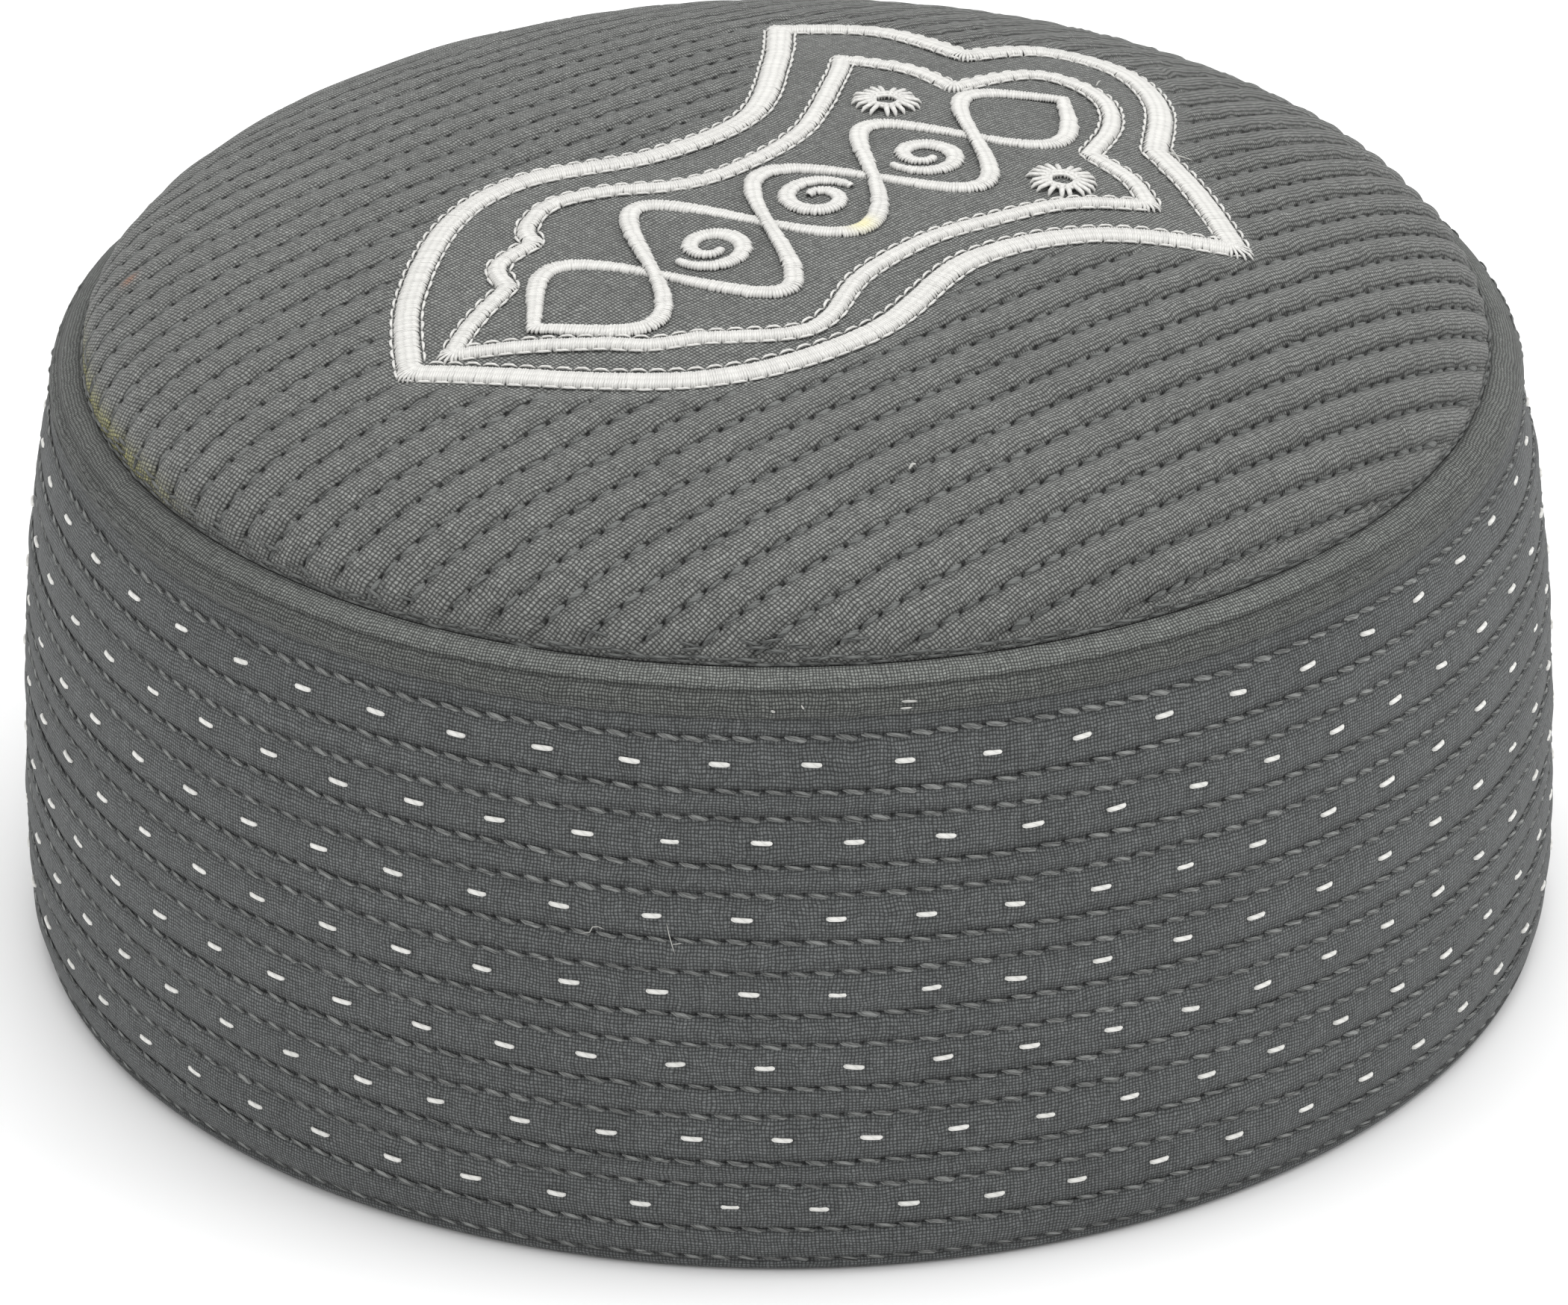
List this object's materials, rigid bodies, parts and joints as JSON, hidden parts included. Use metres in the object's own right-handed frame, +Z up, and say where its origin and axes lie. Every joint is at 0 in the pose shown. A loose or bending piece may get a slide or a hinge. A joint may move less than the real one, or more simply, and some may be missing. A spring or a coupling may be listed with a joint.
{
  "type": "quilted round skullcap",
  "caption": "Round quilted cloth skullcap with an upright padded band, a low domed crown, a rolled binding and raised embroidery.",
  "frame": {"origin": "centre of the rim, on the surface that the cap stands on", "axes": "+Z up through the middle of the crown; the front of the cap faces -Y and its right side, seen from the front, is +X"},
  "size_m": [0.186, 0.186, 0.0969],
  "materials": {
    "band_cloth": "plain-woven dark grey cloth, padded and quilted",
    "binding_cloth": "plain-woven dark grey cloth, rolled",
    "crown_cloth": "plain-woven grey cloth, padded and quilted",
    "embroidery_thread": "off-white satin-stitched thread with a soft sheen"
  },
  "bodies": {
    "root": {"band": "band_cloth", "edge_binding": "binding_cloth", "crown": "crown_cloth", "emblem_outer_line": "embroidery_thread", "emblem_inner_line": "embroidery_thread", "emblem_twist": "embroidery_thread", "emblem_volute_1": "embroidery_thread", "emblem_volute_2": "embroidery_thread", "emblem_volute_3": "embroidery_thread", "rosette_left": "embroidery_thread", "rosette_right": "embroidery_thread"}
  },
  "joints": []
}
